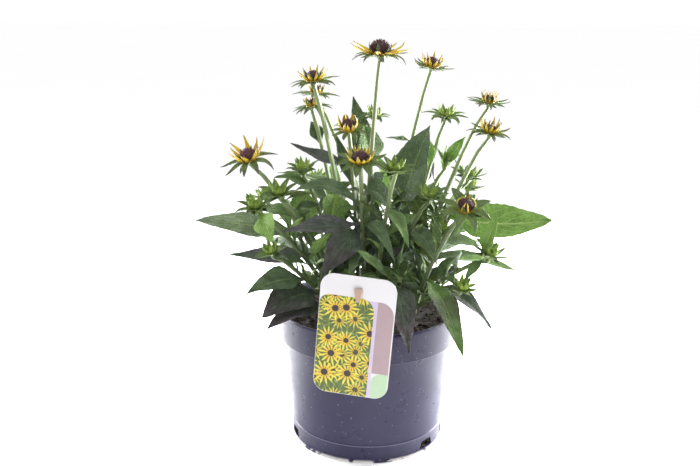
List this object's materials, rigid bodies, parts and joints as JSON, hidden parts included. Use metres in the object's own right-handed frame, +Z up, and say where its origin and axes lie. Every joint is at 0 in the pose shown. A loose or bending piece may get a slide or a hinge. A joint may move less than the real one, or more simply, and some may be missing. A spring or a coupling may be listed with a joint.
{
  "type": "potted coneflower",
  "caption": "Leafy coneflower plant with half-open golden heads on branching stems, grown in a round plastic nursery pot of compost with a blank-headed picture card.",
  "frame": {"origin": "centre of the pot's flat underside, on the surface it stands on", "axes": "+Z up along the pot's axis; -Y towards the side that carries the card; +X to the right as seen from that side"},
  "size_m": [0.3193, 0.2285, 0.3686],
  "materials": {
    "pot_plastic": "satin",
    "compost": "matte",
    "printed_card": "satin",
    "stake_plastic": "satin",
    "flower_stem_green": "matte",
    "ray_gold": "matte",
    "cone_brown": "matte",
    "young_green": "matte"
  },
  "bodies": {
    "root": {"pot": "pot_plastic", "soil": "compost", "label_card": "printed_card", "label_stake": "stake_plastic", "bloom_01_green": "flower_stem_green", "bloom_01_rays": "ray_gold", "bloom_01_cone": "cone_brown", "bloom_02_green": "flower_stem_green", "bloom_02_rays": "ray_gold", "bloom_02_cone": "cone_brown", "bloom_03_green": "flower_stem_green", "bloom_03_rays": "ray_gold", "bloom_03_cone": "cone_brown", "bloom_04_green": "flower_stem_green", "bloom_04_rays": "ray_gold", "bloom_04_cone": "cone_brown", "bloom_05_green": "flower_stem_green", "bloom_05_rays": "ray_gold", "bloom_05_cone": "cone_brown", "bloom_06_green": "flower_stem_green", "bloom_06_rays": "ray_gold", "bloom_06_cone": "cone_brown", "bloom_07_green": "flower_stem_green", "bloom_07_rays": "ray_gold", "bloom_07_cone": "cone_brown", "bloom_08_green": "flower_stem_green", "bloom_08_rays": "ray_gold", "bloom_08_cone": "cone_brown", "bloom_09_green": "flower_stem_green", "bloom_09_rays": "ray_gold", "bloom_09_cone": "cone_brown", "bloom_10_green": "flower_stem_green", "bloom_10_rays": "ray_gold", "bloom_10_cone": "cone_brown", "bloom_11_green": "flower_stem_green", "bloom_11_rays": "ray_gold", "bloom_11_cone": "cone_brown", "shoot_01": "young_green", "shoot_02": "young_green", "shoot_03": "young_green", "shoot_04": "young_green", "shoot_05": "young_green", "shoot_06": "young_green", "shoot_07": "young_green", "shoot_08": "young_green", "shoot_09": "young_green", "shoot_10": "young_green", "shoot_11": "young_green", "shoot_12": "young_green", "shoot_13": "young_green", "shoot_14": "young_green", "shoot_15": "young_green", "shoot_16": "young_green", "shoot_17": "young_green", "shoot_18": "young_green"}
  },
  "joints": []
}
